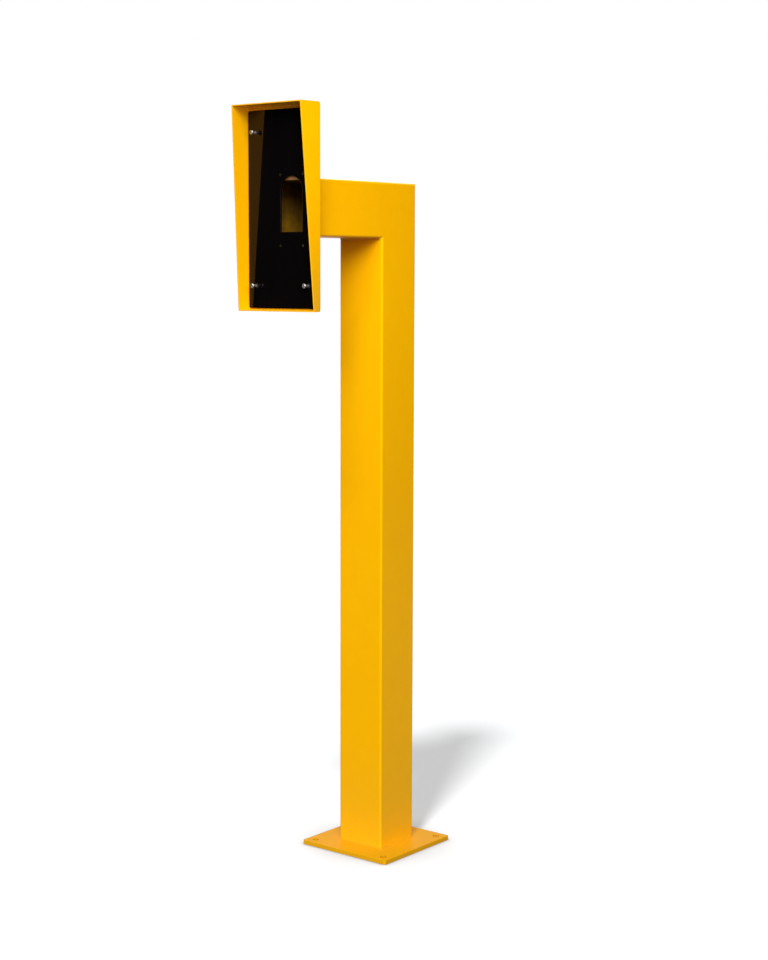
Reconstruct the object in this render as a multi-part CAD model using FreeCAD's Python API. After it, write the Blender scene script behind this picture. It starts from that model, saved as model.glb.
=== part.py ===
import FreeCAD, Part
import math
import os

# Gate intercom post: a square steel tube on a base plate, an arm mitred to its top, and a raked hood on the arm's end
# with a black device plate on the hood's back.
# Millimetres. +Z is up and the hood opens towards -Y. The origin is the middle of the base plate's underside, on the
# post's axis, so Z = 0 is the ground.

# Tube of the post and the arm
TUBE = 100.0  # outside width
TUBE_WALL = 3.0
TUBE_CORNER = 4.0  # outside radius of the long edges

# Overall sizes
ARM_TOP = 1250.0  # height of the arm's upper face
ARM_REACH = 262.0  # from the post's axis to the hood's back

# Base plate
PLATE = 200.0
PLATE_THICK = 8.0
PLATE_CORNER = 4.0
ANCHOR_EDGE = 17.5  # from the plate's sides to an anchor hole's middle
ANCHOR_DIAMETER = 12.0
CABLE_HOLE = 80.0  # in the base plate, under the post

# Hood
SHEET = 2.0
HOOD_RISE = 125.5  # from the arm's upper face to the hood's top
HOOD_HEIGHT = 355.0
HOOD_BEND = 5.0  # outside radius of the two bends behind
HOOD_BACK_HALF = 82.5  # half the width at the back, the same all the way up
HOOD_TOP_LEAN = 3.5  # how far each cheek leans in at the rim's top
HOOD_LOW_SPLAY = 5.5  # how far each cheek splays out at the rim's bottom
HOOD_TOP_DEPTH = 47.0  # from the hood's back to the rim, at the top
HOOD_LOW_DEPTH = 22.5  # and at the bottom
HOOD_CABLE_MARGIN = 1.0  # from the tube's inside to the edge of the square opening in the hood's back
HOOD_CABLE_CORNER = 4.0

# Device plate
DEVICE_SIDE_EDGE = 4.5  # from the hood's outer side to the plate's side
DEVICE_THICK = 3.0
DEVICE_TOP_EDGE = 8.0  # from the hood's outer top to the plate's upper edge
DEVICE_LOW_EDGE = 5.0  # from the hood's outer bottom to the plate's lower edge
DEVICE_CORNER = 3.0
UNIT_X = 21.5  # the unit's middle, to the right of the post's axis
UNIT_DROP = 5.0  # and below the arm's axis
UNIT_PITCH_X = 51.5
UNIT_PITCH_Z = 122.5
UNIT_HOLE = 4.2
CUT_WIDTH = 50.0
CUT_BELOW = 37.5  # from the unit's middle to the cut-out's lower edge
CUT_ABOVE = 58.0  # and to the top of its arch

# Long screws and rivet nuts at the device plate's corners
SCREW_SIDE_EDGE = 18.0  # from the plate's sides to a screw's middle
SCREW_TOP_EDGE = 37.5  # from the plate's upper edge
SCREW_LOW_EDGE = 39.5  # and from its lower edge
THREAD = 4.0
HEAD_DIAMETER = 8.0
HEAD_HEIGHT = 2.8
HEAD_DOME = 1.0  # the head's front edge is bevelled this much
HEAD_STAND = 13.8  # from the device plate to the head's front
SCREW_LENGTH = 20.0
SLOT_WIDTH = 1.1
SLOT_DEPTH = 1.3
RIVET_BODY = 6.0
RIVET_FLANGE = 8.0
RIVET_FLANGE_THICK = 0.5
RIVET_BULGE = 8.4
RIVET_BULGE_LENGTH = 3.0
RIVET_LENGTH = 13.0
HOLE_CLEARANCE = 0.0  # the set rivet nut fills its hole

# Weld beads
FOOT_BEAD = 2.0
HOOD_BEAD = 3.0
MITRE_BEAD = 4.0
BEAD_LIP = 0.3

# Places that follow from the sizes above
HALF = TUBE / 2
ARM_AXIS = ARM_TOP - HALF
HOOD_HIGH = ARM_TOP + HOOD_RISE
HOOD_LOW = HOOD_HIGH - HOOD_HEIGHT
HOOD_BACK = -ARM_REACH
DEVICE_BACK = HOOD_BACK - SHEET
DEVICE_FACE = DEVICE_BACK - DEVICE_THICK
DEVICE_HALF = HOOD_BACK_HALF - DEVICE_SIDE_EDGE
DEVICE_HIGH = HOOD_HIGH - DEVICE_TOP_EDGE
DEVICE_LOW = HOOD_LOW + DEVICE_LOW_EDGE
UNIT_Z = ARM_AXIS - UNIT_DROP
FAR = 400.0  # cutting shapes run out this far


def vec(x, y, z):
    return FreeCAD.Vector(x, y, z)


def rounded_wire(half_x, half_y, radius):
    """Closed outline of a rectangle with round corners, in the XY plane about the origin."""
    edges = []
    corners = [(1, -1, -90), (1, 1, 0), (-1, 1, 90), (-1, -1, 180)]
    ends = []
    for sx, sy, start in corners:
        cx = sx * (half_x - radius)
        cy = sy * (half_y - radius)
        points = []
        for degrees in (start, start + 45, start + 90):
            a = math.radians(degrees)
            points.append(vec(cx + radius * math.cos(a), cy + radius * math.sin(a), 0))
        edges.append(Part.Arc(*points).toShape())
        ends.append((points[0], points[2]))
    straight = []
    for i in range(4):
        straight.append(Part.makeLine(ends[i][1], ends[(i + 1) % 4][0]))
    order = []
    for arc, line in zip(edges, straight):
        order.append(arc)
        order.append(line)
    return Part.Wire(order)


def rounded_prism(half_x, half_y, radius, z0, z1):
    """Upright prism with round corners, from height z0 to z1."""
    solid = Part.Face(rounded_wire(half_x, half_y, radius)).extrude(vec(0, 0, z1 - z0))
    solid.translate(vec(0, 0, z0))
    return solid


def cylinder(x, y, z, radius, length, axis):
    return Part.makeCylinder(radius, length, vec(x, y, z), axis)


def prism_across(points, x0, x1):
    """Prism along X from a polygon of (y, z) corners."""
    corners = [vec(x0, y, z) for y, z in points]
    face = Part.Face(Part.makePolygon(corners + corners[:1]))
    return face.extrude(vec(x1 - x0, 0, 0))


def to_arm(solid):
    """Turns a shape made along +Z about the origin so that it runs along -Y on the arm's axis."""
    turned = solid.copy()
    turned.rotate(vec(0, 0, 0), vec(1, 0, 0), 90)
    turned.translate(vec(0, 0, ARM_AXIS))
    return turned


def square_tube(z0, z1):
    """Square tube along Z with round outside and inside edges."""
    outside = rounded_prism(HALF, HALF, TUBE_CORNER, z0, z1)
    inside_half = HALF - TUBE_WALL
    inside = rounded_prism(inside_half, inside_half, TUBE_CORNER - TUBE_WALL, z0 - 1, z1 + 1)
    return outside.cut(inside)


def foot_plate():
    """Base plate with its anchor holes and the cable hole."""
    plate = rounded_prism(PLATE / 2, PLATE / 2, PLATE_CORNER, 0, PLATE_THICK)
    for sx in (-1, 1):
        for sy in (-1, 1):
            x = sx * (PLATE / 2 - ANCHOR_EDGE)
            y = sy * (PLATE / 2 - ANCHOR_EDGE)
            plate = plate.cut(cylinder(x, y, -1, ANCHOR_DIAMETER / 2, PLATE_THICK + 2, vec(0, 0, 1)))
    return plate.cut(cylinder(0, 0, -1, CABLE_HOLE / 2, PLATE_THICK + 2, vec(0, 0, 1)))


def mitre_keep(side):
    """Everything below the mitre plane (side -1) or above it (side +1). The plane rises towards the back at 45 degrees."""
    low = (-FAR, ARM_AXIS - FAR)
    high = (FAR, ARM_AXIS + FAR)
    if side < 0:
        points = [low, high, (FAR, -FAR), (-FAR, -FAR)]
    else:
        points = [low, high, (-FAR, ARM_AXIS + FAR)]
    return prism_across(points, -FAR, FAR)


def rim_point(across, up):
    """Point (half width, y, z) of a cheek's outside. across runs from 0 at the back to 1 at the rim, up from 0 to 1."""
    splay = HOOD_LOW_SPLAY - (HOOD_LOW_SPLAY + HOOD_TOP_LEAN) * up
    depth = HOOD_LOW_DEPTH + (HOOD_TOP_DEPTH - HOOD_LOW_DEPTH) * up
    return HOOD_BACK_HALF + splay * across, HOOD_BACK - depth * across, HOOD_LOW + HOOD_HEIGHT * up


def between_cheeks(inset):
    """Space between the two cheeks' outside faces, less inset on each side, run out past the hood all round."""
    wires = []
    for across in (-0.2, 1.3):
        low = rim_point(across, -0.05)
        high = rim_point(across, 1.05)
        corners = []
        for sign, (half, y, z) in ((-1, low), (1, low), (1, high), (-1, high)):
            corners.append(vec(sign * (half - inset), y, z))
        wires.append(Part.makePolygon(corners + corners[:1]))
    return Part.makeLoft(wires, True, True)


def hood_outline(inset):
    """Side view of the hood as a prism: upright back with two round bends, and the raked rim."""
    grow = inset * 20  # runs the inner outline out past the rim
    back = HOOD_BACK - inset
    low = HOOD_LOW + inset
    high = HOOD_HIGH - inset
    rake = (HOOD_TOP_DEPTH - HOOD_LOW_DEPTH) / HOOD_HEIGHT
    front_low = HOOD_BACK - HOOD_LOW_DEPTH - rake * inset - grow
    front_high = HOOD_BACK - HOOD_TOP_DEPTH + rake * inset - grow
    solid = prism_across([(front_low, low), (back, low), (back, high), (front_high, high)], -FAR / 2, FAR / 2)
    bends = []
    for edge in solid.Edges:
        ends = [v.Point for v in edge.Vertexes]
        if all(abs(p.y - back) < 1e-6 for p in ends) and abs(ends[0].z - ends[1].z) < 1e-6:
            bends.append(edge)
    return solid.makeFillet(HOOD_BEND - inset, bends)


def hood_parts():
    """The bent sheet and the two cheeks. The cheeks stand on the sheet's edges, flush with it all round."""
    outside = between_cheeks(0)
    inside = between_cheeks(SHEET)
    outline = hood_outline(0)
    hollow = hood_outline(SHEET)
    sheet = outline.cut(hollow).common(inside)
    half_hole = HALF - TUBE_WALL - HOOD_CABLE_MARGIN
    hole = rounded_prism(half_hole, half_hole, HOOD_CABLE_CORNER, ARM_REACH - SHEET, ARM_REACH + 2 * SHEET)
    sheet = sheet.cut(to_arm(hole))
    walls = outside.cut(inside).common(outline)
    left = walls.common(Part.makeBox(FAR, FAR, 2 * ARM_TOP, vec(-FAR, -FAR, 0)))
    right = walls.common(Part.makeBox(FAR, FAR, 2 * ARM_TOP, vec(0, -FAR, 0)))
    return sheet, left, right


def corner_places():
    """Where the long screws go, as (x, z)."""
    places = []
    for sx in (-1, 1):
        for z in (DEVICE_LOW + SCREW_LOW_EDGE, DEVICE_HIGH - SCREW_TOP_EDGE):
            places.append((sx * (DEVICE_HALF - SCREW_SIDE_EDGE), z))
    return places


def unit_places():
    """Where the unit's fixing holes are, as (x, z)."""
    places = []
    for sx in (-1, 1):
        for sz in (-1, 1):
            places.append((UNIT_X + sx * UNIT_PITCH_X / 2, UNIT_Z + sz * UNIT_PITCH_Z / 2))
    return places


def arched_cut():
    """Cut-out with upright sides, a square bottom and a half-round top."""
    radius = CUT_WIDTH / 2
    y0 = DEVICE_FACE - 1
    depth = DEVICE_THICK + 2
    box = Part.makeBox(CUT_WIDTH, depth, CUT_ABOVE + CUT_BELOW - radius, vec(UNIT_X - radius, y0, UNIT_Z - CUT_BELOW))
    arch = cylinder(UNIT_X, y0, UNIT_Z + CUT_ABOVE - radius, radius, depth, vec(0, 1, 0))
    return box.fuse(arch).removeSplitter()


def device_plate():
    """Black plate on the hood's back."""
    plate = rounded_prism(DEVICE_HALF, (DEVICE_HIGH - DEVICE_LOW) / 2, DEVICE_CORNER, 0, DEVICE_THICK)
    plate.rotate(vec(0, 0, 0), vec(1, 0, 0), 90)
    plate.translate(vec(0, DEVICE_BACK, (DEVICE_LOW + DEVICE_HIGH) / 2))
    return plate.cut(arched_cut())


def drilled_holes():
    """Tools for the holes drilled through the device plate and the hood's back: for the rivet nuts and for the unit."""
    tools = []
    depth = DEVICE_THICK + SHEET + 2
    for x, z in corner_places():
        tools.append(cylinder(x, DEVICE_FACE - 1, z, RIVET_BODY / 2 + HOLE_CLEARANCE, depth, vec(0, 1, 0)))
    for x, z in unit_places():
        tools.append(cylinder(x, DEVICE_FACE - 1, z, UNIT_HOLE / 2, depth, vec(0, 1, 0)))
    return tools


def rivet_nut(x, z):
    """Set rivet nut: flange on the device plate, body through both sheets, bulge behind."""
    front = DEVICE_FACE - RIVET_FLANGE_THICK
    along = vec(0, 1, 0)
    flange = cylinder(x, front, z, RIVET_FLANGE / 2, RIVET_FLANGE_THICK, along)
    body = cylinder(x, front, z, RIVET_BODY / 2, RIVET_LENGTH, along)
    bulge = cylinder(x, HOOD_BACK, z, RIVET_BULGE / 2, RIVET_BULGE_LENGTH, along)
    nut = flange.fuse([body, bulge]).removeSplitter()
    return nut.cut(cylinder(x, front - 1, z, THREAD / 2, RIVET_LENGTH + 2, along))


def long_screw(x, z):
    """Pan-head screw with a cross slot, backed out of its rivet nut."""
    front = DEVICE_FACE - HEAD_STAND
    along = vec(0, 1, 0)
    radius = HEAD_DIAMETER / 2
    dome = Part.makeCone(radius - HEAD_DOME, radius, HEAD_DOME, vec(x, front, z), along)
    rim = cylinder(x, front + HEAD_DOME, z, radius, HEAD_HEIGHT - HEAD_DOME, along)
    shank = cylinder(x, front + HEAD_HEIGHT - 0.5, z, THREAD / 2, SCREW_LENGTH + 0.5, along)
    screw = dome.fuse([rim, shank]).removeSplitter()
    reach = HEAD_DIAMETER * 0.28
    for dx, dz in ((reach, SLOT_WIDTH / 2), (SLOT_WIDTH / 2, reach)):
        screw = screw.cut(Part.makeBox(2 * dx, SLOT_DEPTH + 1, 2 * dz, vec(x - dx, front - 1, z - dz)))
    return screw


def ring_bead(size):
    """Fillet weld round the tube, standing on Z = 0."""
    low = rounded_wire(HALF + size, HALF + size, TUBE_CORNER + size)
    high = rounded_wire(HALF + BEAD_LIP, HALF + BEAD_LIP, TUBE_CORNER + BEAD_LIP)
    high.translate(vec(0, 0, size))
    bead = Part.makeLoft([low, high], True, True)
    return bead.cut(rounded_prism(HALF, HALF, TUBE_CORNER, -1, size + 1))


def mitre_bead():
    """Fillet weld in the inside corner where the arm leaves the post."""
    corner = (-HALF, ARM_AXIS - HALF)
    points = [corner, (corner[0] - MITRE_BEAD, corner[1]), (corner[0], corner[1] - MITRE_BEAD)]
    reach = HALF - TUBE_CORNER
    return prism_across(points, -reach, reach)


os.makedirs("parts", exist_ok=True)

parts = {}
parts["base_plate"] = foot_plate()
parts["post_tube"] = square_tube(PLATE_THICK, ARM_TOP + 1).common(mitre_keep(-1))

arm = to_arm(square_tube(-HALF - 1, ARM_REACH))
parts["arm_tube"] = arm.common(mitre_keep(1))

sheet, left, right = hood_parts()
plate = device_plate()
for tool in drilled_holes():
    sheet = sheet.cut(tool)
    plate = plate.cut(tool)
parts["hood_sheet"] = sheet
parts["cheek_left"] = left
parts["cheek_right"] = right
parts["device_plate"] = plate

parts["rivet_nuts"] = Part.makeCompound([rivet_nut(x, z) for x, z in corner_places()])
parts["long_screws"] = Part.makeCompound([long_screw(x, z) for x, z in corner_places()])

foot_bead = ring_bead(FOOT_BEAD)
foot_bead.translate(vec(0, 0, PLATE_THICK))
parts["foot_weld"] = foot_bead
hood_bead = ring_bead(HOOD_BEAD)
hood_bead.rotate(vec(0, 0, 0), vec(1, 0, 0), -90)
hood_bead.translate(vec(0, HOOD_BACK, ARM_AXIS))
parts["hood_weld"] = hood_bead
parts["mitre_weld"] = mitre_bead()

for name, shape in parts.items():
    shape.exportStep("parts/" + name + ".step")
    print(name, len(shape.Solids), "solid", shape.isValid(), round(shape.Volume), "mm3", shape.BoundBox)
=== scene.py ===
# %% [markdown]
# # A gate intercom post in yellow powder coat
#
# The real post is a square steel tube on a base plate, with an arm mitred to its top and an open hood on the arm's end.
# The imported solids give its shape. This script gives the paint, the black device plate, the zinc screws with their
# threads, the white studio floor and the light. Lengths are in metres, +Z is up and the hood opens towards -Y.
#
# ## The imported part
#
# The pieces could be modelled again with Blender's own tools, but then two descriptions of one object would have to
# agree. So the CAD meshes are loaded as they are, one object for each piece. They are never moved or changed and only
# get materials.

# %% Load the imported part
import math

import bpy
import numpy as np
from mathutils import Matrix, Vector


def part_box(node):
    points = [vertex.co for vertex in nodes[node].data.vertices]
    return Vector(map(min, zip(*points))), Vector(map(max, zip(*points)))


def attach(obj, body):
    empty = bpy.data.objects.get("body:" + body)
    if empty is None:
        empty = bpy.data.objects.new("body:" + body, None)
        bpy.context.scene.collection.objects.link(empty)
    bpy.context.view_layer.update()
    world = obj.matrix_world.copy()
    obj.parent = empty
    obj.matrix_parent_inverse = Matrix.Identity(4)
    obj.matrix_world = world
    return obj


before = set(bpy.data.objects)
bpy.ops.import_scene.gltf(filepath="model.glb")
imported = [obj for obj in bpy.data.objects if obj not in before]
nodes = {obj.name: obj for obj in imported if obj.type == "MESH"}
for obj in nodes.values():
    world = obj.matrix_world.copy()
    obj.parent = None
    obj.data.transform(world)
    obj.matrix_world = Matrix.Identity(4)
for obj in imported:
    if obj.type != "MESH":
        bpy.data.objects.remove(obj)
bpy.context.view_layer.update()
print("CAD nodes:", sorted(nodes))

# %% [markdown]
# ## The camera
#
# The photograph's camera was solved from the edges of the post, the arm and the base plate. It stands 1.09 m above the
# ground, a good three metres away, almost 40 degrees round to the right of the hood's open side, and looks slightly
# down. A camera could also be placed by eye and aimed with a constraint, but solved numbers put every edge where the
# photograph has it. A long lens keeps the post's edges nearly parallel. The lens shift slides the picture without
# turning the camera, so the perspective stays as it was solved.

# %% Camera
PICTURE_HEIGHT = 960  # pixels, the picture's longer side
SENSOR = 36.0  # millimetres, along the picture's longer side
EYE = (2.10894, -2.66400, 1.09105)
AZIMUTH = math.radians(39.593)
LOOK_DOWN = math.radians(7.102)
FOCAL_PX = 1820.39
AXIS_X_PX = -45.64  # where the lens axis meets the picture, to the right of its middle
AXIS_Y_PX = 17.45  # and below its middle
SEE_AS_FAR_AS = 60.0


def make_camera():
    """Camera whose rotation is a turn about Z by the azimuth, then a tip below the horizon."""
    data = bpy.data.cameras.new("photo_camera")
    made_camera = bpy.data.objects.new("photo_camera", data)
    bpy.context.scene.collection.objects.link(made_camera)
    made_camera.location = EYE
    made_camera.rotation_euler = (math.pi / 2 - LOOK_DOWN, 0.0, AZIMUTH)
    data.sensor_fit = "AUTO"
    data.sensor_width = SENSOR
    data.lens = FOCAL_PX * SENSOR / PICTURE_HEIGHT
    data.shift_x = -AXIS_X_PX / PICTURE_HEIGHT
    data.shift_y = AXIS_Y_PX / PICTURE_HEIGHT
    data.clip_end = SEE_AS_FAR_AS
    return made_camera


camera = make_camera()
bpy.context.scene.camera = camera
bpy.context.scene.view_settings.view_transform = "Standard"
print("lens %.2f mm, shift %.4f %.4f" % (camera.data.lens, camera.data.shift_x, camera.data.shift_y))

# %% [markdown]
# ## A small language for shaders
#
# A material is a graph of nodes. It can be wired by hand in the shader editor, or node by node in Python, and both are
# hard to read back. Here a `Value` wraps a node's output, so that shader maths reads like arithmetic: every operator
# adds one Math node.


# %% Shader maths
class Value:
    """A shader output socket. The operators and methods add Math nodes."""

    def __init__(self, graph, socket):
        self.graph = graph
        self.socket = socket

    def math(self, operation, *others, clamp=False):
        return self.graph.node("ShaderNodeMath", dict(operation=operation, use_clamp=clamp), [self, *others])

    def __add__(self, other):
        return self.math("ADD", other)

    def __radd__(self, other):
        return self.math("ADD", other)

    def __sub__(self, other):
        return self.math("SUBTRACT", other)

    def __rsub__(self, other):
        return self.graph.node("ShaderNodeMath", dict(operation="SUBTRACT"), [other, self])

    def __mul__(self, other):
        return self.math("MULTIPLY", other)

    def __rmul__(self, other):
        return self.math("MULTIPLY", other)

    def __truediv__(self, other):
        return self.math("DIVIDE", other)

    def unsigned(self):
        """The value without its sign."""
        return self.math("ABSOLUTE")

    def smooth(self, low, high):
        """Rises from 0 at low to 1 at high along a smooth curve."""
        ramp = dict(interpolation_type="SMOOTHSTEP")
        return self.graph.node("ShaderNodeMapRange", ramp, {"Value": self, "From Min": low, "From Max": high})

    def clamp(self):
        """Held between 0 and 1."""
        return self.math("ADD", 0.0, clamp=True)


print("shader maths ready")

# %% [markdown]
# ## The graph round the maths
#
# Colours and vectors can't go through Math nodes, which turn them grey, so they have methods of their own. All nodes
# are made by one method, `Graph.node`, from a type, its settings and its input values. A Mix node carries a socket for
# each kind of data under the same names, so its colour sockets are picked by number.

# %% Shader graph
MIX_FACTOR, MIX_A, MIX_B = 0, 6, 7
MIX_RESULT = 2


class Graph:
    """The node tree of one material or of the world."""

    def __init__(self, owner):
        owner.use_nodes = True
        self.tree = owner.node_tree
        self.tree.nodes.clear()

    def put(self, socket, value):
        if isinstance(value, Value):
            self.tree.links.new(value.socket, socket)
        else:
            socket.default_value = value

    def node(self, kind, settings=None, values=None, output=0):
        """Adds a node, sets its options, then its inputs by order (a list) or by name or number (a dict)."""
        made = self.tree.nodes.new(kind)
        for key, value in (settings or {}).items():
            setattr(made, key, value)
        pairs = values.items() if isinstance(values, dict) else enumerate(values or [])
        for key, value in pairs:
            self.put(made.inputs[key], value)
        return Value(self, made.outputs[output]) if len(made.outputs) else None

    def outputs(self, value, names):
        """Other outputs of the node that made a value."""
        return [Value(self, value.socket.node.outputs[name]) for name in names]

    def mix(self, factor, a, b):
        """Colour that is a where factor is 0 and b where it is 1."""
        a, b = [colour if isinstance(colour, Value) else (*colour, 1.0) for colour in (a, b)]
        sockets = {MIX_FACTOR: factor, MIX_A: a, MIX_B: b}
        return self.node("ShaderNodeMix", dict(data_type="RGBA"), sockets, MIX_RESULT)

    def noise(self, where, scale, detail=2.0, roughness=0.5):
        values = {"Vector": where, "Scale": scale, "Detail": detail, "Roughness": roughness}
        return self.node("ShaderNodeTexNoise", None, values)

    def place(self):
        """Object coordinates, which here are metres in the part's own frame."""
        return self.node("ShaderNodeTexCoord", output="Object")

    def scaled(self, where, factors):
        return self.node("ShaderNodeVectorMath", dict(operation="MULTIPLY"), [where, factors])

    def axes(self, where):
        return self.outputs(self.node("ShaderNodeSeparateXYZ", None, [where]), "XYZ")

    def rounded(self, radius, samples=6):
        """Normal that is rounded over sharp edges, as if they had this radius."""
        return self.node("ShaderNodeBevel", dict(samples=samples), {"Radius": radius})

    def bump(self, height, distance, strength, under):
        """Normal of small heights on top of the normal under them."""
        values = {"Height": height, "Distance": distance, "Strength": strength, "Normal": under}
        return self.node("ShaderNodeBump", None, values)

    def shown(self):
        """1 for what the camera sees straight, in a mirror or through glass, and 0 for light that falls on a piece."""
        names = ("Is Camera Ray", "Is Glossy Ray", "Is Transmission Ray")
        straight, mirrored, through = self.outputs(self.node("ShaderNodeLightPath"), names)
        return (straight + mirrored + through).clamp()

    def surface(self, values):
        """Principled surface, linked to the output."""
        principled = self.node("ShaderNodeBsdfPrincipled", None, values)
        self.node("ShaderNodeOutputMaterial", None, {"Surface": principled})


def material(name):
    made = bpy.data.materials.new(name)
    return made, Graph(made)


print("shader graph ready")

# %% [markdown]
# ## Yellow powder coat: the colours
#
# Powder coat is plastic powder, sprayed on dry and melted into a film in an oven. One flat colour looks like a drawing
# of it, and an image of paint would need unwrapping and would stretch. So each paint is two close tones that noise
# chooses between. Edges are painted lighter, most of all the rims of thin sheet, as a painted highlight. The base plate
# and the weld beads are painted darker, as painted shade. Colours are linear, which is why a strong yellow has a green
# of only about a half.

# %% Paint colours
PAINT = (0.965, 0.482, 0.0006)
PAINT_DEEP = (0.930, 0.446, 0.0004)
BEAD_SHADED = (0.780, 0.350, 0.0004)  # on the weld beads: darker, as painted shade in the corners where they lie
PLATE_SHADED = (0.855, 0.408, 0.0006)  # on the base plate: darker, as painted shade on its top
PLATE_SHADED_DEEP = (0.815, 0.376, 0.0004)
# painted highlights: edges are mixed towards these lighter colours, the rims of thin sheet most
PAINT_EDGE_HIGHLIGHT = (1.0, 0.53, 0.004)
RIM_HIGHLIGHT = (1.0, 0.64, 0.12)
PAINT_SHEEN = (1.0, 0.70, 0.06, 1.0)  # tint of what the paint mirrors
DUST = (0.36, 0.25, 0.09)
print("paint:", PAINT, "to", PAINT_DEEP)

# %% [markdown]
# ## Yellow powder coat: where shade is painted in
#
# Inside the arm and the post, on the hood's back where the device plate covers it, and on the walls of the anchor
# holes, shade is painted into the colour: dark brown with lighter patches in the tubes, brown on the hood's back, and
# a deeper yellow in the holes. Such places could be faces with a material slot of their own, but the CAD meshes stay
# as they are. So each place is a mask, worked out from where a point lies: 1 inside and 0 outside.

# %% Masks for painted shade
TUBE_INSIDE = 0.0485  # between the tube's inner and outer faces, from its axis
ARM_AXIS = 1.200  # its height
ANCHOR_HALF_PITCH = 0.0825
ANCHOR_WALL = 0.00612  # a little more than the holes' radius
UNIT_Z = 1.195  # height of the middle of the four holes for an intercom unit
UNIT_BORES_FROM = 0.0585  # those holes lie further than this above and below it
SHEET = 0.002
FACE_GAP = 0.0001  # play between a mask and the faces of the sheet
EDGE_GAP = 0.0005  # and how far a mask stays inside the device plate's edges
device_low, device_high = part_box("device_plate")


def inside_tubes(x, y, z):
    """1 within the post's or the arm's hollow and 0 on every outer face, from the distance to the tube's axis."""
    up = z - ARM_AXIS
    post = x.unsigned().math("MAXIMUM", y.unsigned()).math("LESS_THAN", TUBE_INSIDE)
    post = post * up.math("LESS_THAN", TUBE_INSIDE)
    arm = x.unsigned().math("MAXIMUM", up.unsigned()).math("LESS_THAN", TUBE_INSIDE)
    arm = arm * y.math("LESS_THAN", TUBE_INSIDE)
    return post.math("MAXIMUM", arm)


def anchor_bores(x, y):
    """1 on the walls of the four anchor holes, from the distance to the nearest hole's axis."""
    across = x.unsigned() - ANCHOR_HALF_PITCH
    along = y.unsigned() - ANCHOR_HALF_PITCH
    return (across * across + along * along).math("SQRT").math("LESS_THAN", ANCHOR_WALL)


def behind_device(x, y, z):
    """1 on the hood's back where the device plate covers it, and in the holes there, but 0 on the hood's rear face."""
    inside = x.unsigned().math("LESS_THAN", device_high[0] - EDGE_GAP)
    inside = inside * y.math("GREATER_THAN", device_high[1] - FACE_GAP)
    inside = inside * y.math("LESS_THAN", device_high[1] + SHEET - 2 * FACE_GAP)
    inside = inside * z.math("GREATER_THAN", device_low[2] + EDGE_GAP)
    return inside * z.math("LESS_THAN", device_high[2] - EDGE_GAP)


def unit_bores(z):
    """1 above and below the cut-out, where the unit's small screw holes show the sheet behind the device plate."""
    return (z - UNIT_Z).unsigned().math("GREATER_THAN", UNIT_BORES_FROM)


print("device plate reaches from", device_low, "to", device_high)

# %% [markdown]
# ## Yellow powder coat: what shows there
#
# Each of the three places has a short function that lays its painted shade over the paint. One long function with a
# case for each place could do it too, but it would be harder to read. They all take the same inputs, so that a paint
# can be given one of them, or none. Inside the tubes and behind the device plate the surface is also rougher.

# %% Colours of the painted shade
# painted shade inside the tubes: dark, lighter in patches
TUBE_SHADE_LIGHT = (0.34, 0.165, 0.006)
TUBE_SHADE_DARK = (0.10, 0.055, 0.012)
# painted shade on the hood's back behind the device plate: brown, lighter in patches and darker at the cut-out's sides
BACK_SHADE = (0.17, 0.085, 0.030)
BACK_SHADE_LIGHT = (0.27, 0.130, 0.046)
BACK_SHADE_DARK = (0.065, 0.026, 0.010)
# painted shade on the walls of the anchor holes
BORE_SHADE = (0.66, 0.285, 0.002)
# painted shade in the unit's small holes
UNIT_BORE_SHADE = (0.05, 0.045, 0.04)
UNIT_X = 0.0215  # middle of the cut-out
ARCH_FADE = (0.004, 0.019)  # from its middle, the painted shade turns darker between these
# roughness added where shade is painted inside the tubes and behind the device plate
SHADE_ROUGHER = 0.35


def shade_in_tubes(g, axes, drift, colour, rough):
    """Painted shade inside the tubes: a dark colour with lighter patches."""
    inside = inside_tubes(*axes)
    return g.mix(inside, colour, g.mix(drift, TUBE_SHADE_DARK, TUBE_SHADE_LIGHT)), rough + inside * SHADE_ROUGHER


def shade_behind_device(g, axes, drift, colour, rough):
    """Painted shade on the hood's back behind the device plate, darker towards the sides of the cut-out, and dark grey
    in the unit's holes.
    """
    inside = behind_device(*axes)
    from_middle = (axes[0] - UNIT_X).unsigned()
    colour = g.mix(inside, colour, g.mix(drift, BACK_SHADE, BACK_SHADE_LIGHT))
    colour = g.mix(inside * from_middle.smooth(*ARCH_FADE), colour, BACK_SHADE_DARK)
    colour = g.mix(inside * unit_bores(axes[2]), colour, UNIT_BORE_SHADE)
    return colour, rough + inside * SHADE_ROUGHER


def shade_in_anchor_bores(g, axes, drift, colour, rough):
    """Painted shade on the walls of the anchor holes, whose paint is as smooth as the rest."""
    return g.mix(anchor_bores(axes[0], axes[1]), colour, BORE_SHADE), rough


print("thin places:", [place.__name__ for place in (shade_in_tubes, shade_behind_device, shade_in_anchor_bores)])

# %% [markdown]
# ## Yellow powder coat: the film
#
# The film flows out nearly flat but keeps a fine orange peel, and the lowest part of the post carries a little ground
# dust. The peel could be real geometry, but it is a few hundredths of a millimetre high, so a bump is enough. Noise on
# Object coordinates has the same real size on every piece and no seams. A bevel in the shading rounds the cut edges of
# the thin sheets, as paint always does, and how far it turns the normal also says where an edge is. There the colour
# is mixed towards a lighter one, as a painted highlight.

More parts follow.
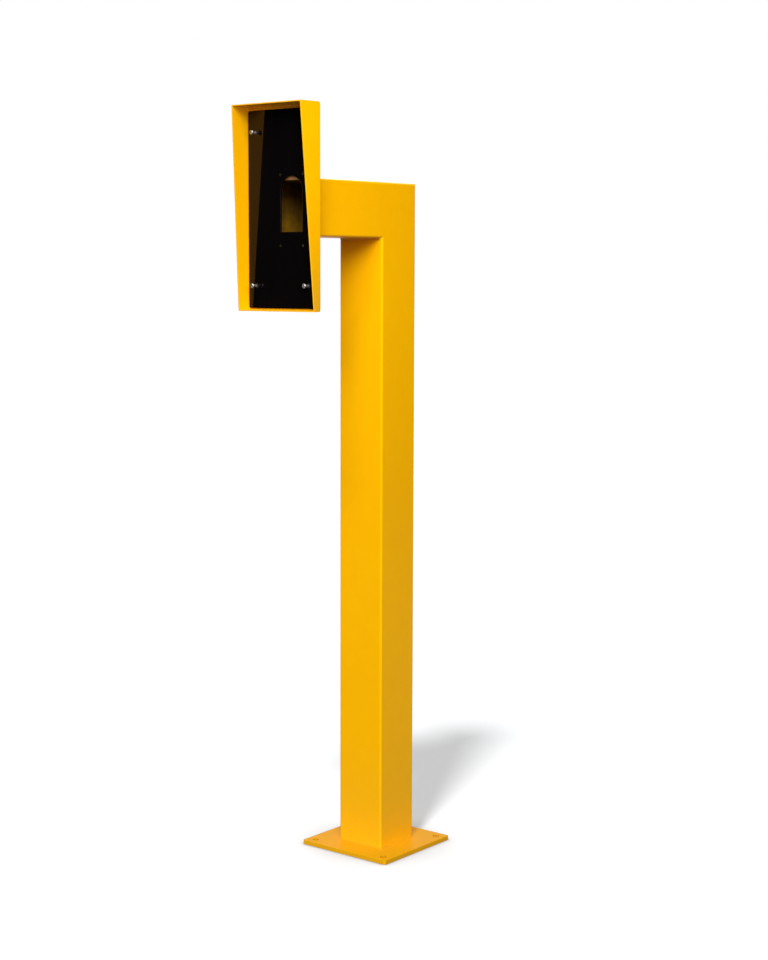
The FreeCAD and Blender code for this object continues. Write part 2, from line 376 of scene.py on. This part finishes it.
# %% Powder coat material
DRIFT_SCALE = 2.2  # noise cells in a metre: slow changes of the film
FLOW_SCALE = 38.0
PEEL_SCALE = 620.0
GRAIN_SCALE = 2300.0
EDGE_TURN = (0.004, 0.18)  # 1 minus the cosine between the flat and the rounded normal
TONE_SPAN = (0.30, 0.72)
SHADE_TONE_SPAN = (0.30, 0.65)
DUST_HEIGHT = 0.22
DUST_SCALE = 75.0
DUST_SPAN = (0.40, 0.75)
DUST_AMOUNT = 0.13
PEEL_DEPTH = 0.00006
RIPPLE_SCALE = 115.0
RIPPLE_DEPTH = 0.0004
PAINT_IOR = 1.5


def edges(g, rounded):
    """1 on edges, where the rounded normal turns away from the face's own."""
    flat = g.node("ShaderNodeNewGeometry", output="Normal")
    along = g.node("ShaderNodeVectorMath", dict(operation="DOT_PRODUCT"), [rounded, flat], output="Value")
    return (1.0 - along).smooth(*EDGE_TURN)


def ground_dust(g, where, z):
    """Most at the ground and none above DUST_HEIGHT, half of it even and half in small patches."""
    low = ((DUST_HEIGHT - z) / DUST_HEIGHT).clamp()
    return low * (0.5 + g.noise(where, DUST_SCALE, 4.0, 0.6).smooth(*DUST_SPAN) * 0.5) * DUST_AMOUNT


def weld_ripple(g, where):
    """Bands across a bead, as the molten steel froze."""
    return g.node("ShaderNodeTexWave", dict(wave_type="BANDS", bands_direction="DIAGONAL"),
                  {"Vector": where, "Scale": RIPPLE_SCALE, "Distortion": 2.5, "Detail": 1.0})


def powder_coat(name, edge_radius, edge_highlight=PAINT_EDGE_HIGHLIGHT, highlight_amount=0.35, tones=(PAINT_DEEP, PAINT), bead=False,
                shaded=None, sheen=0.34):
    """Powder coat between two tones, with its edges painted lighter as a painted highlight. shaded is the function that
    paints shade into one place, if there is one.
    """
    made, g = material(name)
    where = g.place()
    axes = g.axes(where)
    broad = g.noise(where, DRIFT_SCALE, 2.0)
    film = g.noise(where, FLOW_SCALE, 3.0, 0.55)
    peel = g.noise(where, PEEL_SCALE, 2.0, 0.45)
    grain = g.noise(where, GRAIN_SCALE, 1.0)
    rounded = g.rounded(edge_radius)
    colour = g.mix((broad * 0.6 + film * 0.4).smooth(*TONE_SPAN), *tones)
    # painted highlight: the edges' colour is mixed towards a lighter one
    colour = g.mix(edges(g, rounded) * highlight_amount, colour, edge_highlight)
    dust = ground_dust(g, where, axes[2])
    colour = g.mix(dust, colour, DUST)
    rough = 0.34 + film * 0.06 + broad * 0.05 + dust * 0.6
    # painted shade for this paint's place, if it has one
    if shaded:
        drift = (film * 0.5 + broad * 0.5).smooth(*SHADE_TONE_SPAN)
        colour, rough = shaded(g, axes, drift, colour, rough)
    normal = g.bump(peel * 0.75 + grain * 0.25, PEEL_DEPTH, 0.5, rounded)
    if bead:
        normal = g.bump(weld_ripple(g, where), RIPPLE_DEPTH, 0.35, normal)
    g.surface({"Base Color": colour, "Roughness": rough, "Normal": normal, "IOR": PAINT_IOR,
               "Specular Tint": PAINT_SHEEN, "Specular IOR Level": sheen})
    return made


print("powder coat function ready")

# %% [markdown]
# ## Yellow powder coat: one for each kind of piece
#
# The real post was coated in one go, so one function makes all its paints. Copies of one material, changed by hand,
# would drift apart. These differ only in their tones, how round their edges are and how strong the edges' painted
# highlight is, how much the film mirrors, and where shade is painted in. The base plate's and the beads' deeper tones
# are painted shade.

# %% Paints
paint_tube = powder_coat("powder_coat_tube", 0.0012, shaded=shade_in_tubes, sheen=0.22)
# the base plate's darker tones are painted shade on its top
paint_plate = powder_coat("powder_coat_plate", 0.0012, tones=(PLATE_SHADED_DEEP, PLATE_SHADED), shaded=shade_in_anchor_bores, sheen=0.06)
paint_sheet = powder_coat("powder_coat_sheet", 0.0008, RIM_HIGHLIGHT, 0.6)
paint_back = powder_coat("powder_coat_back", 0.0008, RIM_HIGHLIGHT, 0.6, shaded=shade_behind_device)
# the beads' deeper colour is painted shade in the corners where they lie
paint_bead = powder_coat("powder_coat_bead", 0.0006, BEAD_SHADED, tones=(BEAD_SHADED, BEAD_SHADED), bead=True)
print("paints:", [paint.name for paint in (paint_tube, paint_plate, paint_sheet, paint_back, paint_bead)])

# %% [markdown]
# ## Black device plate
#
# The real plate is smooth, glossy and black, and mirrors the hood's left cheek and the screws. A plain glossy black
# would do from afar, but looks computed close by. So a trace of lint lightens it in specks, a faint haze changes its
# roughness, and shallow upright wiping marks break the mirror up a little. Its mirror is slightly warm.

# %% Device plate material
PLATE_BLACK = (0.0022, 0.0016, 0.0019)
PLATE_HAZE = (0.0034, 0.0028, 0.0030)
LINT = (0.008, 0.008, 0.008)
LINT_SPAN = (0.70, 0.80)
HAZE_SPAN = (0.35, 0.8)
WIPE_DEPTH = 0.00001
DEVICE_EDGE = 0.0006
DEVICE_IOR = 1.38
DEVICE_SHEEN = (1.0, 0.80, 0.62, 1.0)


def device_gloss(name):
    """Black gloss with haze, lint and wiping marks. Coordinates squeezed along Z draw noise out into upright marks."""
    made, g = material(name)
    where = g.place()
    haze = g.noise(g.scaled(where, (1.0, 1.0, 0.25)), 30.0, 3.0, 0.6)
    lint = g.noise(where, 900.0, 2.0).smooth(*LINT_SPAN)
    wipe = g.noise(g.scaled(where, (1.0, 1.0, 0.06)), 220.0, 2.0)
    colour = g.mix(lint * 0.4, PLATE_BLACK, LINT)
    colour = g.mix(haze.smooth(*HAZE_SPAN) * 0.4, colour, PLATE_HAZE)
    g.surface({"Base Color": colour, "Roughness": 0.04 + haze * 0.04 + lint * 0.1, "IOR": DEVICE_IOR,
               "Specular Tint": DEVICE_SHEEN, "Normal": g.bump(wipe, WIPE_DEPTH, 0.25, g.rounded(DEVICE_EDGE))})
    return made


device_black = device_gloss("device_plate_gloss")
print("device plate material:", device_black.name)

# %% [markdown]
# ## Zinc
#
# The screws are zinc plated: grey metal with slightly blotchy roughness. A metal has no colour of its own beside its
# mirror, so its two tones go into a fully metallic surface. The threads have darker tones, as painted shade. The rivet
# nuts are black zinc, which is mostly a dark film, so they are only partly metallic and hardly show on the black plate.

# %% Zinc material
BLOTCH_SCALE = 420.0
BLOTCH_SPAN = (0.35, 0.70)
FINE_SCALE = 2600.0
FINE_DEPTH = 0.00003
ZINC_EDGE = 0.0002


def plating(name, worn, fresh, metallic, rough):
    """Zinc plating that changes from the worn to the fresh colour in blotches."""
    made, g = material(name)
    where = g.place()
    blotch = g.noise(where, BLOTCH_SCALE, 3.0)
    fine = g.noise(where, FINE_SCALE, 2.0)
    rounded = g.rounded(ZINC_EDGE, samples=4)
    g.surface({"Base Color": g.mix(blotch.smooth(*BLOTCH_SPAN), worn, fresh), "Metallic": metallic,
               "Roughness": rough + blotch * 0.16, "Normal": g.bump(fine, FINE_DEPTH, 0.4, rounded)})
    return made


zinc = plating("bright_zinc", (0.23, 0.215, 0.20), (0.38, 0.37, 0.355), 1.0, 0.32)
# darker tones on the threads: painted shade
zinc_thread_shaded = plating("shaded_zinc_thread", (0.13, 0.12, 0.11), (0.24, 0.23, 0.22), 1.0, 0.34)
black_zinc = plating("black_zinc", (0.010, 0.010, 0.010), (0.018, 0.018, 0.018), 0.3, 0.38)
print("zinc:", [plated.name for plated in (zinc, zinc_thread_shaded, black_zinc)])

# %% [markdown]
# ## A material for each piece
#
# The steelwork is one colour on the real post, and only the device plate, the screws and the rivet nuts aren't painted.
# Materials could be chosen in the viewport, piece by piece, but a table shows them all at once. The bead in the mitre's
# inside corner is small and smooth and takes the tubes' paint. The other two beads take a deeper colour, painted shade
# in the corners where they lie, and show their ripple.

# %% Give each CAD node its material
finish = {
    "base_plate": paint_plate, "post_tube": paint_tube, "arm_tube": paint_tube,
    "hood_sheet": paint_back, "cheek_left": paint_sheet, "cheek_right": paint_sheet,
    "foot_weld": paint_bead, "hood_weld": paint_bead, "mitre_weld": paint_tube,
    "device_plate": device_black, "rivet_nuts": black_zinc, "long_screws": zinc,
}
for name, node in nodes.items():
    node.data.materials.clear()
    node.data.materials.append(finish[name])
print("materials given to", len(finish), "nodes")

# %% [markdown]
# ## Threads on the long screws
#
# The screws are backed out, so their threads show between head and plate. The CAD shanks are plain, because a thread
# costs many faces and changes no size. A bump could draw it, but its outline would stay straight. A Screw modifier
# could wind it, but at full depth to both ends. Here each thread is a closed ridge that one formula carries along a
# helix, and its depth runs out at both ends as a real thread's does. Its crest stands 0.2 mm off the shank.

# %% Thread surface
SCREW_X = 0.060
SCREW_Z = (1.0650, 1.3300)
SHANK_RADIUS = 0.0020
ROOT_INSET = 0.00003  # how far the ridge's feet are sunk into the shank
THREAD_DEPTH = 0.00024
PITCH = 0.0007
THREAD_FROM = -0.2778  # along Y, just behind the screws' heads
THREAD_TO = -0.2677  # and just in front of the rivet nuts
TURN_STEPS = 28
RUN_OUT = 0.1  # share of the depth that is left at both ends
RIDGE = ((-0.46, 0.0), (-0.06, 1.0), (0.06, 1.0), (0.46, 0.0))  # share of the pitch along the screw, share of the depth


def thread_surface(cx, cz, turns, steps=TURN_STEPS):
    """Closed ridge wound round a line along Y through (cx, cz). Angle t runs round the shank, and the ridge's section
    has two feet at radius r, just inside the shank, and a narrow crest between them, whose radius is r plus the
    thread's depth: point = (cx + r cos t, y0 + pitch t / 2 pi, cz + r sin t). The depth runs out over half a turn at
    both ends."""
    count = turns * steps + 1
    t = np.linspace(0.0, 2 * np.pi * turns, count)
    centre = THREAD_FROM + PITCH * 0.5 + PITCH * t / (2 * np.pi)
    depth = np.clip(np.minimum(t, t[-1] - t) / np.pi, RUN_OUT, 1.0) * THREAD_DEPTH
    rows = []
    for side, lift in RIDGE:
        radius = SHANK_RADIUS - ROOT_INSET + lift * depth
        rows.append(np.stack([cx + radius * np.cos(t), centre + side * PITCH, cz + radius * np.sin(t)], axis=1))
    points = np.stack(rows, axis=1).reshape(-1, 3)
    section = np.arange(count - 1)[:, None] * 4
    corner = np.arange(4)[None, :]
    after = (corner + 1) % 4
    sides = np.stack([section + corner, section + after, section + after + 4, section + corner + 4], axis=2)
    last = (count - 1) * 4
    ends = np.array([[3, 2, 1, 0], [last, last + 1, last + 2, last + 3]])
    return points, np.concatenate([sides.reshape(-1, 4), ends])


def mesh_piece(name, points, faces, finish_material, smooth=True):
    """Mesh object from arrays of points and of four-cornered faces."""
    mesh = bpy.data.meshes.new(name)
    mesh.from_pydata(points.tolist(), [], faces.tolist())
    mesh.polygons.foreach_set("use_smooth", np.full(len(faces), smooth))
    mesh.materials.append(finish_material)
    made_object = bpy.data.objects.new(name, mesh)
    bpy.context.scene.collection.objects.link(made_object)
    return made_object


print("thread pitch %.2f mm, depth %.2f mm" % (PITCH * 1000, THREAD_DEPTH * 1000))

# %% [markdown]
# ## Four threads in one piece
#
# The four threads are seen together and share one metal. They could be four objects, but one is easier to handle, so
# their points are stacked, and each thread's faces count on from the points before it. The piece rides the part's one
# body, as the screws do.

# %% Screw threads
turns = int((THREAD_TO - THREAD_FROM) / PITCH) - 1
all_points = []
all_faces = []
start = 0
for cx in (-SCREW_X, SCREW_X):
    for cz in SCREW_Z:
        points, faces = thread_surface(cx, cz, turns)
        all_points.append(points)
        all_faces.append(faces + start)
        start += len(points)
threads = mesh_piece("screw_threads", np.concatenate(all_points), np.concatenate(all_faces), zinc_thread_shaded)
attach(threads, "root")
print("threads:", turns, "turns each,", sum(len(f) for f in all_faces), "faces")

# %% [markdown]
# ## Studio floor
#
# The photograph's ground is white, with one soft shadow and a faint darkening round the base plate. A white floor under
# strong light would be as white, but it would also light the post from below. So the floor has two looks. The camera
# and mirrors see it white, half by its colour and half by its own glow, and light that bounces off it on to the post
# finds it nearly black. Only the colour's half is lost in the shadow, which keeps the shadow pale. Ambient occlusion
# darkens the floor close to the plate.

# %% Floor
FLOOR_HALF = 40.0
FLOOR_BOUNCE = (0.03, 0.03, 0.03)
FLOOR_COLOUR = (0.470, 0.473, 0.478)
FLOOR_GLOW = (0.478, 0.484, 0.490)
BLACK = (0.0, 0.0, 0.0)
CONTACT_REACH = 0.13
CONTACT_SHADE = 1.1


def flat_card(name, corners, finish_material):
    """Four-cornered card from its corners in order."""
    return mesh_piece(name, np.array(corners, float), np.array([[0, 1, 2, 3]]), finish_material, smooth=False)


def floor_white(name):
    """White to the camera and to mirrors, darker near pieces, and nearly black to light that falls on a piece."""
    made, g = material(name)
    seen = g.shown()
    patches = g.noise(g.place(), 1.5, 2.0) * 0.02
    openness = g.node("ShaderNodeAmbientOcclusion", dict(samples=8), {"Distance": CONTACT_REACH}, output="AO")
    open_floor = (1.0 - (1.0 - openness) * CONTACT_SHADE).clamp()
    colour = g.mix(seen, FLOOR_BOUNCE, g.mix(open_floor, BLACK, FLOOR_COLOUR))
    glow = g.mix(seen, BLACK, g.mix(open_floor, BLACK, FLOOR_GLOW))
    g.surface({"Base Color": colour, "Roughness": 0.9 + patches, "Specular IOR Level": 0.0,
               "Emission Color": glow, "Emission Strength": 1.0})
    return made


floor = flat_card("floor", [(-FLOOR_HALF, -FLOOR_HALF, 0), (FLOOR_HALF, -FLOOR_HALF, 0),
                            (FLOOR_HALF, FLOOR_HALF, 0), (-FLOOR_HALF, FLOOR_HALF, 0)], floor_white("studio_floor"))
print("floor:", 2 * FLOOR_HALF, "m wide")

# %% [markdown]
# ## Dark flags
#
# In a photographer's studio, a black board beside the set is called a flag. One stands where the black plate looks and
# one where the post's right face looks, so that neither mirrors the white room and both keep their colour. The plate
# could be made less glossy instead, but then it would lose the mirror image of the hood's cheek. The camera doesn't see
# the flags, and they cast no shadow.

# %% Flags
FLAG_BOTTOM = 0.01
FLAG_TOP = 3.4
FLAG_BLACK = (0.004, 0.004, 0.004)
FLAG_WORN = (0.006, 0.006, 0.006)


def standing_card(name, start, end, finish_material):
    """Upright card over the line from start to end on the ground."""
    corners = [(*start, FLAG_BOTTOM), (*end, FLAG_BOTTOM), (*end, FLAG_TOP), (*start, FLAG_TOP)]
    return flat_card(name, corners, finish_material)


def flag_cloth(name):
    made, g = material(name)
    g.surface({"Base Color": g.mix(g.noise(g.place(), 3.0), FLAG_BLACK, FLAG_WORN), "Roughness": 1.0,
               "Specular IOR Level": 0.0})
    return made


cloth = flag_cloth("studio_flag")
flags = [
    standing_card("flag_left", (-4.8, -4.2), (-1.2, -4.9), cloth),
    standing_card("flag_right", (0.6, 4.2), (4.6, 2.2), cloth),
]
for flag in flags:
    flag.visible_camera = False
    flag.visible_shadow = False
print("flags:", [flag.name for flag in flags])

# %% [markdown]
# ## Lamps
#
# A lamp can be placed by hand and turned until it looks right, but a bearing and a level are easier to change and to
# compare with the photograph. Azimuth goes from -Y round to +X. A level is how bright a white card would be that faces
# the lamp. On the faces that show, each lamp counts for less by its slant, and near the arm they come to about 1
# together. A sun's power is pi times its level. A round lamp's power is its level times the square of pi times its
# distance, and its light fades further away.

# %% Lamp helpers
SUN_DISTANCE = 6.0  # only for show: a sun has the same strength everywhere
SUN_AIM = (0.0, -0.15, 1.20)
WHITE = (1.0, 1.0, 1.0)


def bearing(azimuth, elevation):
    """Unit vector towards a light, from its azimuth and its elevation above the ground in degrees."""
    a = math.radians(azimuth)
    e = math.radians(elevation)
    return np.array([math.sin(a) * math.cos(e), -math.cos(a) * math.cos(e), math.sin(e)])


def add_lamp(name, kind, azimuth, elevation, distance, energy, aim):
    """Lamp on a bearing from the aim point, facing it."""
    data = bpy.data.lights.new(name, kind)
    data.energy = energy
    lamp = bpy.data.objects.new(name, data)
    bpy.context.scene.collection.objects.link(lamp)
    lamp.location = tuple(np.array(aim) + bearing(azimuth, elevation) * distance)
    lamp.rotation_euler = (math.pi / 2 - math.radians(elevation), 0.0, math.radians(azimuth))
    lamp.visible_camera = False
    return lamp


def sun_lamp(name, azimuth, elevation, level, spread):
    """Sun whose disc is spread degrees across. A wider one has softer shadows."""
    lamp = add_lamp(name, "SUN", azimuth, elevation, SUN_DISTANCE, level * math.pi, SUN_AIM)
    lamp.data.angle = math.radians(spread)
    return lamp


def round_lamp(name, azimuth, elevation, level, distance, width, aim, colour=WHITE):
    """Round soft lamp that has its level at the aim point."""
    lamp = add_lamp(name, "AREA", azimuth, elevation, distance, level * (math.pi * distance) ** 2, aim)
    lamp.data.shape = "DISK"
    lamp.data.size = width
    lamp.data.color = colour
    return lamp


def link_light(lamp, pieces, state):
    """Lets the lamp light only these pieces (state INCLUDE), or everything but these pieces (EXCLUDE)."""
    group = bpy.data.collections.new(lamp.name + "_reach")
    for piece in pieces:
        group.objects.link(piece)
    for member in group.collection_objects:
        member.light_linking.link_state = state
    lamp.light_linking.receiver_collection = group


print("lamp helpers ready")

# %% [markdown]
# ## The photograph's light
#
# A very wide sun near the camera's own bearing lights the two faces that show. A round lamp on the same bearing stands
# three metres away, so that the post's front darkens towards the ground as in the photograph. A narrow sun comes from
# higher up. A small, slightly warm lamp stands near the arm on the right, and makes the right-hand faces darken
# towards the ground. A sun behind the post lights its back and left side for views from there. It leaves out the base
# plate and the weld round the foot, which would look too bright from the front.
#
# These lamps could light the floor too, but then it would get a shadow from each. With light linking, the floor has a
# sun of its own, almost on the narrow sun's bearing, and the other five leave it alone. So it keeps one clear shadow.

# %% Lamps
FRONT_AIM = (0.0, -0.10, 1.15)
SIDE_AIM = (0.0, -0.26, 1.18)
WARM = (1.0, 0.93, 0.80)

high_light = sun_lamp("high_light", 24.0, 55.0, level=0.22, spread=8.0)
floor_light = sun_lamp("floor_light", 23.8, 55.0, level=1.16, spread=6.6)
wide_light = sun_lamp("wide_light", 36.0, 28.0, level=0.80, spread=34.0)
front_light = round_lamp("front_light", 36.0, 28.0, level=0.20, distance=3.0, width=1.2, aim=FRONT_AIM)
side_light = round_lamp("side_light", 62.0, 14.0, level=0.51, distance=0.90, width=0.5, aim=SIDE_AIM, colour=WARM)
back_light = sun_lamp("back_light", 225.0, 24.0, level=0.85, spread=40.0)
link_light(floor_light, [floor], "INCLUDE")
link_light(back_light, [floor, nodes["base_plate"], nodes["foot_weld"]], "EXCLUDE")
for lamp in (high_light, wide_light, front_light, side_light):
    link_light(lamp, [floor], "EXCLUDE")
for lamp in (high_light, floor_light, wide_light, front_light, side_light, back_light):
    print("%-11s power %6.2f at %s" % (lamp.name, lamp.data.energy, np.round(lamp.location, 2)))

# %% [markdown]
# ## World
#
# The world is the backdrop and the last of the light. A white world would light the post from all round and wash its
# faces out, and a dark one would show behind it. So it is white where the camera or a mirror sees it, and only a low
# fill for the light that falls on the post.

# %% World
WORLD_FILL = 0.25
world = bpy.data.worlds.new("studio_world")
bpy.context.scene.world = world
g = Graph(world)
shown = g.shown()
strength = shown + (1.0 - shown) * WORLD_FILL
background = g.node("ShaderNodeBackground", None, {"Color": (1.0, 1.0, 1.0, 1.0), "Strength": strength})
g.node("ShaderNodeOutputWorld", None, {"Surface": background})
print("world fill:", WORLD_FILL)
